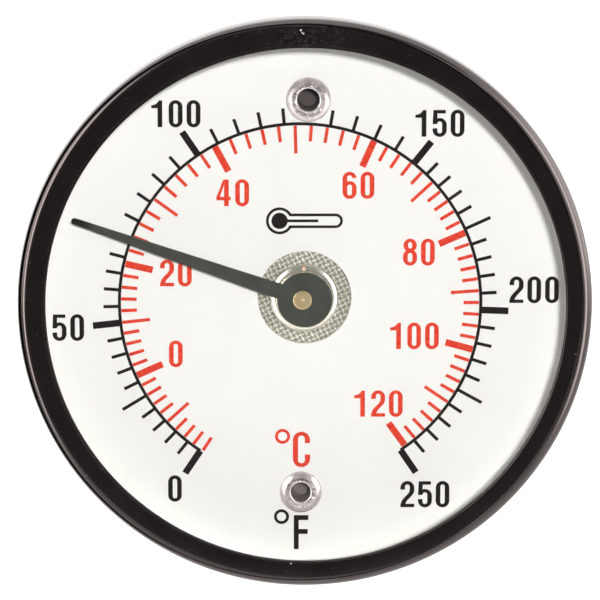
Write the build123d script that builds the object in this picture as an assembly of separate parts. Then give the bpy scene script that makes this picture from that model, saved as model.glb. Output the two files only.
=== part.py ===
from build123d import *
import math
import os

# Dual-magnet bimetal dial thermometer with a 2 inch case, in millimetres.
# It is modelled with the dial up: x to the right of the dial, y towards twelve o'clock and
# z forward, as a depth from the plane that the magnets cling to. facing then stands it up,
# so that the dial looks along -Y, twelve o'clock is +Z and the origin is on the pointer's axis
# in the magnets' plane.
facing = Rot(X=90)
slack = 0.05

# Case, bezel and lens
case_radius = 25.3
case_back_radius = 24.7
case_back = 3.2
floor_thickness = 0.8
case_floor = case_back + floor_thickness
case_widest_depth = 9.2
case_rim_radius = 25.08
case_rim_depth = 11.1
case_rim_rounding = 0.22
case_bore_radius = 24.2
shoulder_radius = 23.4
bezel_seat_radius = 24.75
bezel_seat_depth = 8.9
bezel_radius = 24.58
bezel_bore_radius = 24.2
bezel_lip_radius = 22.76
bezel_front = 12.2
bezel_shoulder_depth = 11.65
lens_radius = 24.1
lens_back = 10.3
lens_front = 11.5
gasket_thickness = 0.2
gasket_bore_radius = 23.45
trim_bore_radius = 23.85
trim_radius = 24.15

# Dial and its print
dial_radius = 24.0
dial_thickness = 0.4
dial_front = 7.0
dial_back = dial_front - dial_thickness
dial_hole_radius = 4.15
ink_thickness = 0.03
print_centre = (-0.39, -0.53)
arc_radius = 16.03
arc_width = 0.27
black_minor_reach = 17.45
black_long_reach = 18.5
red_minor_reach = 14.5
red_long_reach = 13.4
thin_tick = 0.29
major_tick = 0.6
ink_gap = 0.02

# Clock angles of the marks, in degrees clockwise from twelve o'clock, as (mark, angle) pairs.
# The coil turns the pointer faster in the middle of the scale than at its ends.
fahrenheit_law = (
    (0, -146.25), (50, -96.2), (75, -69.75), (100, -34.15), (150, 38.7), (200, 92.15), (250, 146.0),
)
celsius_law = (
    (-18, -146.9), (-10, -132.1), (0, -114.05), (10, -96.15), (20, -77.0), (30, -54.0),
    (40, -28.15), (50, -1.6), (60, 24.15), (70, 47.1), (80, 66.55), (90, 85.9), (100, 105.2),
    (110, 124.15), (120, 143.95),
)

# Numerals, with the place of each label's middle from the scale's centre
numeral_height = 2.36
numeral_width = 1.24
numeral_stroke = 0.41
bar_share = 0.74
digit_pitch = 1.575
fahrenheit_labels = {
    "0": (-11.2, -16.79),
    "50": (-20.58, -2.16),
    "100": (-10.95, 16.92),
    "150": (12.28, 16.06),
    "200": (20.76, 1.2),
    "250": (11.17, -17.34),
}
celsius_labels = {
    "0": (-11.05, -4.54),
    "20": (-11.0, 2.73),
    "40": (-5.91, 9.9),
    "60": (5.15, 10.56),
    "80": (10.52, 4.59),
    "100": (10.13, -2.94),
    "120": (6.95, -9.07),
}
degree_ring_diameter = 1.35
degree_ring_stroke = 0.26
celsius_degree = (-1.57, -12.04)
celsius_letter = (0.12, -13.23)
celsius_letter_size = (1.53, 3.22)
celsius_letter_stroke = 0.46
fahrenheit_degree = (-1.67, -19.38)
fahrenheit_letter = (0.08, -20.81)
fahrenheit_letter_size = (1.3, 3.12)
fahrenheit_letter_stroke = 0.44

# Thermometer sign printed above the pointer
sign_centre = (0.38, 7.4)
sign_length = 6.8
sign_tube_width = 1.3
sign_bulb_diameter = 2.4
sign_line = 0.24

# Magnets, and the hollow rivets that hold them, the case and the dial together
magnet_offset = 17.63
magnet_clock = 1.1
pole_cup_radius = 6.35
pole_cup_wall = 0.8
magnet_depth = 2.5
magnet_radius = pole_cup_radius - pole_cup_wall - slack
magnet_bore_radius = 2.5
rivet_shank_radius = 1.45
rivet_head_radius = 2.2
rivet_head_thickness = 0.8
rivet_roll_height = 0.5
rivet_hole_depth = 2.2
top_roll_radius = 1.99
top_rivet_hole_radius = 1.0
bottom_roll_radius = 1.89
bottom_rivet_hole_radius = 0.88
rivet_spacer_radius = 2.6

# Sensing cup, heat shield and the small rivets round them
sensor_radius = 9.5
sensor_wall = 0.8
sensor_floor = 1.2
flange_radius = 13.0
sensor_flange_thickness = 0.5
sensor_flange_front = case_floor + sensor_flange_thickness
shield_radius = 10.4
shield_sheet = 0.3
shield_front = 6.5
small_rivet_circle = 11.7
small_rivet_radius = 0.5
small_rivet_head_radius = 0.9
small_rivet_head_thickness = 0.35
small_rivet_angles = (45, 135, 225, 315)

# Calibration hub, coil and its anchor
hub_recess_radius = 3.4
hub_recess_depth = 0.6
hub_head_radius = 3.2
hub_head_back = 0.05
hub_head_front = 0.5
hub_slot_width = 0.7
hub_slot_depth = 0.25
hub_radius = 2.0
hub_neck_radius = 1.55
hub_clinch_radius = 1.85
hub_clinch_thickness = 0.15
washer_radius = 3.0
washer_thickness = 0.1
arm_back = sensor_floor + washer_thickness
arm_thickness = 0.4
arm_front = arm_back + arm_thickness
arm_boss_radius = 2.7
arm_width = 2.4
post_inner = 7.86
post_outer = 8.45
post_width = 1.2
post_front = 4.0
coil_strip = 0.2
coil_back = 2.0
coil_front = 3.8
coil_outer_radius = 7.7
coil_turns = 5
coil_points_per_turn = 12

# Pointer and its shaft
shaft_radius = 0.5
shaft_clearance = 0.04
shaft_end = 0.9
shaft_head_radius = 0.84
shaft_head_height = 0.2
shaft_dimple_radius = 0.3
shaft_dimple_depth = 0.1
arbor_radius = 1.4
arbor_back = 1.95
arbor_front = 3.9
bush_radius = 1.4
bush_back = 5.6
bush_flange_radius = 2.2
bush_front = 6.9
thrust_washer_radius = 1.3
thrust_washer_thickness = 0.2
collar_radius = 2.98
collar_rim_rounding = 0.35
collar_back = 7.0
pointer_back = 8.2
pointer_thickness = 0.3
pointer_front = pointer_back + pointer_thickness
pointer_hub_radius = 2.43
pointer_length = 21.72
pointer_root_width = 1.47
pointer_tip_width = 0.52
pointer_rest = -70.8


def turned(outline, rounds=()):
    """Body of revolution from a (radius, depth) outline; rounds lists (corner, radius) pairs."""
    face = make_face(Polyline(*outline, close=True))
    for corner, radius in rounds:
        vertex = face.vertices().sort_by_distance((*corner, 0))[0]
        face = fillet(vertex, radius)
    return revolve(Plane.XZ * face, axis=Axis.Z)


def washer(inner, outer, back, front):
    """Flat ring between two radii and two depths."""
    return turned([(inner, back), (outer, back), (outer, front), (inner, front)])


def drill(radius, back, front, x=0, y=0):
    """Cylinder to cut with, between two depths."""
    return Pos(x, y, (back + front) / 2) * Cylinder(radius, front - back)


def at_clock(radius, clock):
    """Point on a circle, at a clock angle in degrees from twelve o'clock."""
    angle = math.radians(clock)
    return (radius * math.sin(angle), radius * math.cos(angle))


def magnet_place(side):
    """Middle of a magnet and its rivet; side is 1 at the top and -1 at the bottom."""
    return at_clock(side * magnet_offset, magnet_clock)


def drill_magnet_rivet_holes(shape, back, front):
    for side in (1, -1):
        shape -= drill(rivet_shank_radius, back - 1, front + 1, *magnet_place(side))
    return shape


def small_rivet_places():
    return [Pos(*at_clock(small_rivet_circle, clock), 0) for clock in small_rivet_angles]


def drill_small_rivet_holes(shape, back, front):
    for place in small_rivet_places():
        shape -= place * drill(small_rivet_radius, back - 1, front + 1)
    return shape


def case_cup():
    corner_back = (case_back_radius, case_back)
    corner_rim = (case_rim_radius, case_rim_depth)
    corner_lip = (bezel_seat_radius, case_rim_depth)
    outline = [
        (sensor_radius + slack, case_back),
        corner_back,
        (case_radius, case_widest_depth),
        corner_rim,
        corner_lip,
        (bezel_seat_radius, bezel_seat_depth),
        (case_bore_radius, bezel_seat_depth),
        (case_bore_radius, dial_back),
        (shoulder_radius, dial_back),
        (shoulder_radius, case_floor),
        (sensor_radius + slack, case_floor),
    ]
    rounds = [
        (corner_back, 0.9),
        ((case_radius, case_widest_depth), 6.0),
        (corner_rim, case_rim_rounding),
        (corner_lip, 0.08),
    ]
    shape = drill_magnet_rivet_holes(turned(outline, rounds), case_back, case_floor)
    return drill_small_rivet_holes(shape, case_back, case_floor)


def bezel_ring():
    lip = (bezel_lip_radius, bezel_front)
    crown = (bezel_lip_radius + 0.85, bezel_front - 0.05)
    shoulder = (bezel_radius, bezel_shoulder_depth)
    outline = [
        (bezel_lip_radius, lens_front),
        lip,
        crown,
        shoulder,
        (bezel_radius, bezel_seat_depth),
        (bezel_bore_radius, bezel_seat_depth),
        (bezel_bore_radius, lens_front),
    ]
    return turned(outline, [(lip, 0.12), (crown, 1.5), (shoulder, 0.3)])


def lens():
    edge = 0.15
    outline = [
        (0, lens_back),
        (lens_radius, lens_back),
        (lens_radius, lens_front - edge),
        (lens_radius - edge, lens_front),
        (0, lens_front),
    ]
    return turned(outline)


def lens_gasket():
    return washer(gasket_bore_radius, trim_radius, lens_back - gasket_thickness, lens_back)


def trim_ring():
    return washer(trim_bore_radius, trim_radius, dial_front, lens_back - gasket_thickness)


def dial_plate():
    plate = washer(dial_hole_radius, dial_radius, dial_back, dial_front)
    return drill_magnet_rivet_holes(plate, dial_back, dial_front)


def scale_clock(law, mark):
    """Clock angle of a mark, straight between the pairs of a scale law."""
    index = max(i for i, (start, _) in enumerate(law[:-1]) if start <= mark)
    (low, first), (high, last) = law[index], law[index + 1]
    return first + (last - first) * (mark - low) / (high - low)


def tick(clock, inner, outer, width):
    """Straight radial mark at a clock angle."""
    middle = Pos(0, (inner + outer) / 2) * Rectangle(width, outer - inner)
    return Rot(Z=-clock) * middle


def scale_arc():
    """Graduated arc from the first Fahrenheit mark to the last."""
    first_clock = fahrenheit_law[0][1]
    last_clock = fahrenheit_law[-1][1]
    sweep = last_clock - first_clock
    outer = arc_radius + arc_width / 2
    inner = arc_radius - arc_width / 2
    edges = [
        CenterArc((0, 0), outer, 90 - last_clock, sweep),
        Line(at_clock(outer, first_clock), at_clock(inner, first_clock)),
        CenterArc((0, 0), inner, 90 - last_clock, sweep),
        Line(at_clock(inner, last_clock), at_clock(outer, last_clock)),
    ]
    return make_face(edges)


def black_ticks():
    """Fahrenheit marks; the one behind the top rivet's roll stops short of it."""
    x, y = magnet_place(1)
    roll = Pos(x - print_centre[0], y - print_centre[1]) * Circle(top_roll_radius + ink_gap)
    ticks = []
    for fahrenheit in range(fahrenheit_law[0][0], fahrenheit_law[-1][0] + 1, 5):
        reach = black_minor_reach if fahrenheit % 25 else black_long_reach
        width = thin_tick if fahrenheit % 50 else major_tick
        ticks.append(tick(scale_clock(fahrenheit_law, fahrenheit), arc_radius, reach, width) - roll)
    return ticks


def red_ticks():
    ticks = []
    start = arc_radius - arc_width / 2 - ink_gap
    for celsius in range(celsius_law[0][0], celsius_law[-1][0] + 1, 2):
        reach = red_minor_reach if celsius % 10 else red_long_reach
        width = thin_tick if celsius % 20 else major_tick
        ticks.append(tick(scale_clock(celsius_law, celsius), reach, start, width))
    return ticks


def box(left, bottom, right, top):
    """Rectangle between two corners."""
    return Pos((left + right) / 2, (bottom + top) / 2) * Rectangle(right - left, top - bottom)


def upright_slot(width, height):
    return Rot(Z=90) * SlotOverall(height, width)


def bowl(width, bottom, top, stroke):
    """Closed loop of a numeral; its strokes are thinner across the top and the bottom."""
    loop = upright_slot(width, top - bottom)
    loop -= upright_slot(width - 2 * stroke, top - bottom - 2 * bar_share * stroke)
    return Pos(0, (bottom + top) / 2) * loop


def scaled(points, w, h):
    """Polygon from points given as shares of a width and a height."""
    return Polygon(*[(x * w, y * h) for x, y in points], align=None)


# The numeral shapes stand on y = 0, with x = 0 in the middle. w, h and s are a numeral's
# width, height and stroke.
def zero(w, h, s):
    return bowl(0.98 * w, -0.01 * h, 1.01 * h, s)


def one(w, h, s):
    """Stem with a flag, whose top edge dips towards the left."""
    right = 0.32 * w
    flag_left = right - 0.96
    return Polygon((right - s, 0), (right, 0), (right, h), (right - 0.3, h), (right - 0.33, 0.97 * h),
                   (right - 0.42, 0.92 * h), (right - 0.56, 0.865 * h), (right - 0.72, 0.835 * h),
                   (flag_left, 0.82 * h), (flag_left, 0.71 * h), (right - s, 0.71 * h), align=None)


def two(w, h, s):
    half = w / 2
    hook = bowl(w, 0.36 * h, 1.01 * h, s) & box(-half, 0.68 * h, half, 1.01 * h)
    outer = [(0.5, 0.7), (0.49, 0.6), (0.42, 0.51), (0.2, 0.38), (0, 0.27), (-0.12, 0.16), (-0.14, 0)]
    inner = [(-0.5, 0), (-0.48, 0.12), (-0.4, 0.25), (-0.2, 0.385), (0.06, 0.52), (0.15, 0.6),
             (0.17, 0.7)]
    return hook + scaled(outer + inner, w, h) + box(-half, 0, half, bar_share * s)


def four(w, h, s):
    right = 0.32 * w
    left = -0.56 * w
    bar_bottom = 0.22 * h
    bar_top = bar_bottom + bar_share * s
    slope = Polygon((left, bar_bottom), (left, 0.34 * h), (right - s - 0.05 * w, h), (right - 0.1, h),
                    (right - s, 0.8 * h), (left + 0.3, bar_top), (left + 0.3, bar_bottom), align=None)
    stem = box(right - s, 0, right, h)
    return stem + slope + box(left, bar_bottom, right + 0.14 * w, bar_top)


def five(w, h, s):
    half = w / 2
    cup = bowl(w, -0.01 * h, 0.7 * h, s) - box(-half - 1, 0.31 * h, -0.02 * w, 0.48 * h)
    cup -= box(-half - 1, 0.47 * h, -half + 0.7 * s, 0.8 * h)
    stem = scaled([(-0.5, 0.47), (-0.22, 0.47), (-0.18, 0.6), (-0.15, 1), (-0.45, 1)], w, h)
    return cup + stem + box(-0.45 * w, h - bar_share * s, 0.43 * w, h)


def six(w, h, s):
    half = w / 2
    back = bowl(w, -0.01 * h, 1.01 * h, s) - box(0, 0.4 * h, half + 1, 0.78 * h)
    return back + bowl(w, -0.01 * h, 0.66 * h, s)


def eight(w, h, s):
    return bowl(w, -0.01 * h, 0.6 * h, s) + bowl(0.95 * w, 0.51 * h, 1.01 * h, s)


glyphs = {"0": zero, "1": one, "2": two, "4": four, "5": five, "6": six, "8": eight}


def numeral(text):
    """Row of numerals, with its middle at the origin."""
    first = -digit_pitch * (len(text) - 1) / 2
    shapes = []
    for index, sign in enumerate(text):
        glyph = glyphs[sign](numeral_width, numeral_height, numeral_stroke)
        shapes.append(Pos(first + index * digit_pitch, -numeral_height / 2) * glyph)
    return shapes


def labels(places):
    return [Pos(*place) * shape for text, place in places.items() for shape in numeral(text)]


def degree_ring(place):
    outer = degree_ring_diameter / 2
    return Pos(*place) * (Circle(outer) - Circle(outer - degree_ring_stroke))


def celsius_legend():
    w, h = celsius_letter_size
    gap = box(0.05 * w, 0.355 * h, w, 0.68 * h)
    letter = bowl(w, 0, h, celsius_letter_stroke) - gap
    return [degree_ring(celsius_degree), Pos(*celsius_letter) * Pos(0, -h / 2) * letter]


def fahrenheit_legend():
    w, h = fahrenheit_letter_size
    s = fahrenheit_letter_stroke
    letter = box(-w / 2, 0, -w / 2 + s, h)
    letter += box(-w / 2, h - s, w / 2, h)
    letter += box(-w / 2, 0.45 * h, 0.46 * w, 0.45 * h + s)
    return [degree_ring(fahrenheit_degree), Pos(*fahrenheit_letter) * Pos(0, -h / 2) * letter]


def thermometer_sign():
    """Plain lying thermometer: an outlined tube and bulb with a solid column."""
    bulb_x = -sign_length / 2 + sign_bulb_diameter / 2
    tube = box(bulb_x, -sign_tube_width / 2, sign_length / 2 - sign_tube_width / 2,
               sign_tube_width / 2)
    end = Pos(sign_length / 2 - sign_tube_width / 2, 0)
    bulb = Pos(bulb_x, 0)
    outside = tube + end * Circle(sign_tube_width / 2) + bulb * Circle(sign_bulb_diameter / 2)
    bore = sign_tube_width - 2 * sign_line
    inside = box(bulb_x, -bore / 2, sign_length / 2 - sign_tube_width / 2, bore / 2)
    inside += end * Circle(bore / 2)
    inside += bulb * Circle(sign_bulb_diameter / 2 - sign_line)
    column = bulb * Circle(sign_bulb_diameter / 2 - 2 * sign_line)
    column += box(bulb_x, -sign_line / 2, 0.18 * sign_length, sign_line / 2)
    return [Pos(*sign_centre) * (outside - inside), Pos(*sign_centre) * column]


def printed(shapes):
    """Ink on the dial's face."""
    return Pos(*print_centre, dial_front) * extrude(Sketch() + shapes, ink_thickness, dir=(0, 0, 1))


def scale_print_black():
    scale = [scale_arc()] + black_ticks()
    return printed(scale + labels(fahrenheit_labels) + fahrenheit_legend())


def scale_print_red():
    return printed(red_ticks() + labels(celsius_labels) + celsius_legend())


def sign_print():
    return printed(thermometer_sign())


def pole_cup(side):
    inner = pole_cup_radius - pole_cup_wall
    corner = (pole_cup_radius, case_back)
    outline = [
        (inner, 0),
        (pole_cup_radius, 0),
        corner,
        (rivet_shank_radius, case_back),
        (rivet_shank_radius, magnet_depth),
        (inner, magnet_depth),
    ]
    return Pos(*magnet_place(side), 0) * turned(outline, [(corner, 0.5)])


def magnet(side):
    return Pos(*magnet_place(side), 0) * washer(magnet_bore_radius, magnet_radius, 0, magnet_depth)


def hollow_rivet(side, roll_radius, hole_radius):
    """Semi-tubular rivet: flat head in the magnet's bore, end rolled over on the dial."""
    front = dial_front + rivet_roll_height
    crest = roll_radius - 0.36
    head = (rivet_head_radius, magnet_depth - rivet_head_thickness)
    edge = (roll_radius, dial_front + 0.42)
    outline = [
        (0, magnet_depth - rivet_head_thickness),
        head,
        (rivet_head_radius, magnet_depth),
        (rivet_shank_radius, magnet_depth),
        (rivet_shank_radius, dial_front),
        (roll_radius - 0.06, dial_front),
        (roll_radius, dial_front + 0.12),
        edge,
        (crest, front),
        (hole_radius + 0.16, front - 0.18),
        (hole_radius + 0.06, front - 0.14),
        (hole_radius, front - 0.24),
        (hole_radius, front - rivet_hole_depth),
        (0, front - rivet_hole_depth - 0.2),
    ]
    return Pos(*magnet_place(side), 0) * turned(outline, [(head, 0.4), (edge, 0.25)])


def rivet_spacers():
    one_spacer = washer(rivet_shank_radius + slack, rivet_spacer_radius, case_floor, dial_back)
    return [Pos(*magnet_place(side), 0) * one_spacer for side in (1, -1)]


def sensor_cup():
    inner = sensor_radius - sensor_wall
    back_corner = (sensor_radius, 0)
    outline = [
        (hub_recess_radius, 0),
        back_corner,
        (sensor_radius, case_floor),
        (flange_radius, case_floor),
        (flange_radius, sensor_flange_front),
        (inner, sensor_flange_front),
        (inner, sensor_floor),
        (hub_radius + slack, sensor_floor),
        (hub_radius + slack, hub_recess_depth),
        (hub_recess_radius, hub_recess_depth),
    ]
    shape = turned(outline, [(back_corner, 0.4)])
    return drill_small_rivet_holes(shape, case_floor, sensor_flange_front)


def heat_shield():
    flange_front = sensor_flange_front + shield_sheet
    outer_corner = (shield_radius, shield_front)
    inner_corner = (shield_radius - shield_sheet, shield_front - shield_sheet)
    outline = [
        (bush_radius, shield_front - shield_sheet),
        inner_corner,
        (shield_radius - shield_sheet, sensor_flange_front),
        (flange_radius, sensor_flange_front),
        (flange_radius, flange_front),
        (shield_radius, flange_front),
        outer_corner,
        (bush_radius, shield_front),
    ]
    shape = turned(outline, [(outer_corner, 0.6), (inner_corner, 0.3)])
    return drill_small_rivet_holes(shape, sensor_flange_front, flange_front)


def shield_rivets():
    back = case_back - small_rivet_head_thickness
    grip_front = sensor_flange_front + shield_sheet
    front = grip_front + small_rivet_head_thickness
    head_edge_back = (small_rivet_head_radius, back)
    head_edge_front = (small_rivet_head_radius, front)
    outline = [
        (0, back),
        head_edge_back,
        (small_rivet_head_radius, case_back),
        (small_rivet_radius, case_back),
        (small_rivet_radius, grip_front),
        (small_rivet_head_radius, grip_front),
        head_edge_front,
        (0, front),
    ]
    rivet = turned(outline, [(head_edge_back, 0.25), (head_edge_front, 0.25)])
    return [place * rivet for place in small_rivet_places()]


def upper_bearing_bush():
    bore = shaft_radius + shaft_clearance
    outline = [
        (bore, bush_back),
        (bush_radius, bush_back),
        (bush_radius, shield_front),
        (bush_flange_radius, shield_front),
        (bush_flange_radius, bush_front),
        (bore, bush_front),
    ]
    return turned(outline)


def calibration_hub():
    """Slotted hub, riveted over the anchor arm; its blind bore carries the pointer shaft."""
    bore = shaft_radius + shaft_clearance
    clinch_front = arm_front + hub_clinch_thickness
    outline = [
        (0, hub_head_back),
        (hub_head_radius, hub_head_back),
        (hub_head_radius, hub_head_front),
        (hub_radius, hub_head_front),
        (hub_radius, arm_back),
        (hub_neck_radius, arm_back),
        (hub_neck_radius, arm_front),
        (hub_clinch_radius, arm_front),
        (hub_clinch_radius, clinch_front),
        (bore, clinch_front),
        (bore, shaft_end - slack),
        (0, shaft_end - slack),
    ]
    slot_middle = hub_head_back + hub_slot_depth / 2
    slot = Pos(0, 0, slot_middle) * Box(hub_slot_width, 3 * hub_head_radius, hub_slot_depth)
    return turned(outline) - slot


def hub_washer():
    return washer(hub_radius + slack, washer_radius, sensor_floor, arm_back)


def anchor_arm():
    """Boss round the hub, with an arm out to the coil's end; the arm lies at six o'clock."""
    arm = box(-arm_width / 2, -post_outer + arm_width / 2, arm_width / 2, 0)
    tip = Pos(0, -post_outer + arm_width / 2) * Circle(arm_width / 2)
    outline = Circle(arm_boss_radius) + arm + tip - Circle(hub_neck_radius)
    return Pos(0, 0, arm_back) * extrude(outline, arm_thickness)


def anchor_post():
    height = post_front - arm_front
    middle = (post_inner + post_outer) / 2
    block = Box(post_width, post_outer - post_inner, height)
    return Pos(0, -middle, arm_front + height / 2) * block


def coil_edge(offset):
    """One face of the spiral strip, at an offset from its middle line."""
    inner = arbor_radius + coil_strip / 2 + 0.01
    count = coil_turns * coil_points_per_turn
    points = []
    for step in range(count + 1):
        radius = inner + (coil_outer_radius - inner) * step / count + offset
        points.append(at_clock(radius, 180 - 360 * (count - step) / coil_points_per_turn))
    return points


def bimetal_coil():
    outside = Spline(*coil_edge(coil_strip / 2))
    inside = Spline(*coil_edge(-coil_strip / 2))
    ends = [Line(outside @ 0, inside @ 0), Line(outside @ 1, inside @ 1)]
    strip = make_face([outside, inside] + ends)
    return Pos(0, 0, coil_back) * extrude(strip, coil_front - coil_back)


def coil_arbor():
    return washer(shaft_radius, arbor_radius, arbor_back, arbor_front)


def thrust_washer():
    front = bush_back - slack
    return washer(shaft_radius, thrust_washer_radius, front - thrust_washer_thickness, front)


def pointer_shaft():
    """Brass shaft; its front end is staked over the pointer and punched in the middle."""
    crown = (shaft_head_radius, pointer_front + shaft_head_height)
    foot = (shaft_radius, shaft_end)
    outline = [
        (0, shaft_end),
        foot,
        (shaft_radius, pointer_front),
        (shaft_head_radius, pointer_front),
        crown,
        (shaft_dimple_radius, pointer_front + shaft_head_height),
        (0, pointer_front + shaft_head_height - shaft_dimple_depth),
    ]
    return turned(outline, [(foot, 0.2), (crown, 0.14)])


def pointer_collar():
    rim = (collar_radius, pointer_back)
    back_rim = (collar_radius, collar_back)
    outline = [(shaft_radius, collar_back), back_rim, rim, (shaft_radius, pointer_back)]
    return turned(outline, [(rim, collar_rim_rounding), (back_rim, 0.15)])


def pointer():
    """Sheet pointer: a round hub and a tapering arm with a round tip."""
    tip_centre = pointer_length - pointer_tip_width / 2
    taper = Polygon((-pointer_root_width / 2, 0), (pointer_root_width / 2, 0),
                    (pointer_tip_width / 2, tip_centre), (-pointer_tip_width / 2, tip_centre),
                    align=None)
    outline = Circle(pointer_hub_radius) + taper + Pos(0, tip_centre) * Circle(pointer_tip_width / 2)
    outline -= Circle(shaft_radius)
    flat = Pos(0, 0, pointer_back) * extrude(outline, pointer_thickness)
    return Rot(Z=-pointer_rest) * flat


def save(name, shape):
    """Write one named sub-part, standing up; a list is a group of like pieces."""
    pieces = shape if isinstance(shape, list) else [shape]
    solids = [facing * solid for piece in pieces for solid in piece.solids()]
    whole = solids[0] if len(solids) == 1 else Compound(children=solids)
    export_step(whole, f"parts/{name}.step")


os.makedirs("parts", exist_ok=True)
save("case_cup", case_cup())
save("bezel_ring", bezel_ring())
save("lens", lens())
save("lens_gasket", lens_gasket())
save("trim_ring", trim_ring())
save("dial_plate", dial_plate())
save("scale_print_black", scale_print_black())
save("scale_print_red", scale_print_red())
save("sign_print", sign_print())
save("pole_cup_top", pole_cup(1))
save("pole_cup_bottom", pole_cup(-1))
save("magnet_top", magnet(1))
save("magnet_bottom", magnet(-1))
save("rivet_top", hollow_rivet(1, top_roll_radius, top_rivet_hole_radius))
save("rivet_bottom", hollow_rivet(-1, bottom_roll_radius, bottom_rivet_hole_radius))
save("rivet_spacers", rivet_spacers())
save("sensor_cup", sensor_cup())
save("heat_shield", heat_shield())
save("shield_rivets", shield_rivets())
save("upper_bearing_bush", upper_bearing_bush())
save("calibration_hub", calibration_hub())
save("hub_washer", hub_washer())
save("anchor_arm", anchor_arm())
save("anchor_post", anchor_post())
save("bimetal_coil", bimetal_coil())
save("coil_arbor", coil_arbor())
save("thrust_washer", thrust_washer())
save("pointer_shaft", pointer_shaft())
save("pointer_collar", pointer_collar())
save("pointer", pointer())
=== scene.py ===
import math
import random

import bmesh
import bpy
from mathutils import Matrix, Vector
from mathutils import noise


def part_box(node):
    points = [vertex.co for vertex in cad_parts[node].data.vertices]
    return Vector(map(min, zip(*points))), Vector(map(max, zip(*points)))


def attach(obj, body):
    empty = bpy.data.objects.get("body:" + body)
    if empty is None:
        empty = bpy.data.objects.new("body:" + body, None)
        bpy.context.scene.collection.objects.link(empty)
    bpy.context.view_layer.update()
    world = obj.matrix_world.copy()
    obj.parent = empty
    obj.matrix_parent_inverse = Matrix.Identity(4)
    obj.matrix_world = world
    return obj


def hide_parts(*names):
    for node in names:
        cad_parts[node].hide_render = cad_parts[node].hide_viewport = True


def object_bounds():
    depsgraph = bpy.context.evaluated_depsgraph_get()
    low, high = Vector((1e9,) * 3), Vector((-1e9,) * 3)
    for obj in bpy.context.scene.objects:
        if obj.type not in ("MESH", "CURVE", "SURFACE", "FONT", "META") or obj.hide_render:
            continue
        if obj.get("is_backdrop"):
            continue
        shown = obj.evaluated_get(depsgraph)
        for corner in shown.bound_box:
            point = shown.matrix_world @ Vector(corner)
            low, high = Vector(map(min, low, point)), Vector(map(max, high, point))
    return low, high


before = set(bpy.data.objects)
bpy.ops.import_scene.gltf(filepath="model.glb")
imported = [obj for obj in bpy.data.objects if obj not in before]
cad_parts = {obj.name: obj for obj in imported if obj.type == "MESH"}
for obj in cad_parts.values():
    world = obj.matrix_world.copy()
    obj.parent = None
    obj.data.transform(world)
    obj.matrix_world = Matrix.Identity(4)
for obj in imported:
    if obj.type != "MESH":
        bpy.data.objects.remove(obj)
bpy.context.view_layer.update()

# The scene is in metres. The dial looks along -Y and twelve o'clock is +Z. Lathe outlines are
# (radius, y) pairs: y is 0 in the plane the magnets cling to and falls towards the reader.
mm = 0.001
HOUSING = "housing"
CALIBRATOR = "calibrator"
POINTER = "pointer_assembly"
ROUND = 256              # segments of a lathe body
FINE_ROUND = 384         # segments of the two big rings
SMALL_ROUND = 96         # segments of the small turned parts


# ---------------------------------------------------------------- frame measurements
def middle(node):
    low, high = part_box(node)
    return (low + high) / 2


def radius_of(node):
    low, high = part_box(node)
    return (high.x - low.x) / 2


def front_of(node):
    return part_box(node)[0].y


def back_of(node):
    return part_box(node)[1].y


# ---------------------------------------------------------------- mesh helpers
def rounded(points, radius, steps=5, closed=True):
    """Outline with every corner eased by a short curve; radius is one value or one per point."""
    count = len(points)
    radii = radius if isinstance(radius, (list, tuple)) else [radius] * count
    eased = []
    for index, point in enumerate(points):
        at = Vector(point)
        if radii[index] == 0 or (not closed and index in (0, count - 1)):
            eased.append(at)
            continue
        before = Vector(points[index - 1]) - at
        after = Vector(points[(index + 1) % count]) - at
        reach = min(radii[index], 0.45 * before.length, 0.45 * after.length)
        start = at + before.normalized() * reach
        end = at + after.normalized() * reach
        for step in range(steps + 1):
            t = step / steps
            eased.append(start * (1 - t) ** 2 + at * 2 * t * (1 - t) + end * t ** 2)
    return [(p.x, p.y) for p in eased]


def new_object(name, vertices, faces, smooth_below=40):
    mesh = bpy.data.meshes.new(name)
    mesh.from_pydata(vertices, [], faces)
    shape = bmesh.new()
    shape.from_mesh(mesh)
    bmesh.ops.recalc_face_normals(shape, faces=shape.faces)
    shape.to_mesh(mesh)
    shape.free()
    mesh.shade_smooth()
    mesh.set_sharp_from_angle(angle=math.radians(smooth_below))
    piece = bpy.data.objects.new(name, mesh)
    bpy.context.scene.collection.objects.link(piece)
    return piece


def lathe(name, outline, centre=(0, 0), segments=ROUND, push=None, smooth_below=40):
    """Turned body about a line parallel to Y. An outline that starts and ends at radius 0 is
    closed by its poles, any other outline is a ring. push(radius, y, angle) may move a point."""
    solid = outline[0][0] == 0 and outline[-1][0] == 0
    ring = outline[1:-1] if solid else outline
    vertices = []
    for segment in range(segments):
        angle = 2 * math.pi * segment / segments
        for radius, y in ring:
            if push:
                radius, y = push(radius, y, angle)
            vertices.append((centre[0] + radius * math.sin(angle), y,
                             centre[1] + radius * math.cos(angle)))
    size = len(ring)
    faces = []
    spans = size - 1 if solid else size
    for segment in range(segments):
        here = segment * size
        there = (segment + 1) % segments * size
        for k in range(spans):
            n = (k + 1) % size
            faces.append((here + k, here + n, there + n, there + k))
    if solid:
        for pole, k in ((outline[0], 0), (outline[-1], size - 1)):
            vertices.append((centre[0], pole[1], centre[1]))
            tip = len(vertices) - 1
            for segment in range(segments):
                faces.append((segment * size + k, (segment + 1) % segments * size + k, tip))
    return new_object(name, vertices, faces, smooth_below)


def fit(piece, body, stands_for, look):
    """Put a finished piece on its body, in place of its CAD nodes, with a material."""
    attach(piece, body)
    if stands_for:
        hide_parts(*stands_for)
    piece.data.materials.clear()
    piece.data.materials.append(look)


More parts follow.
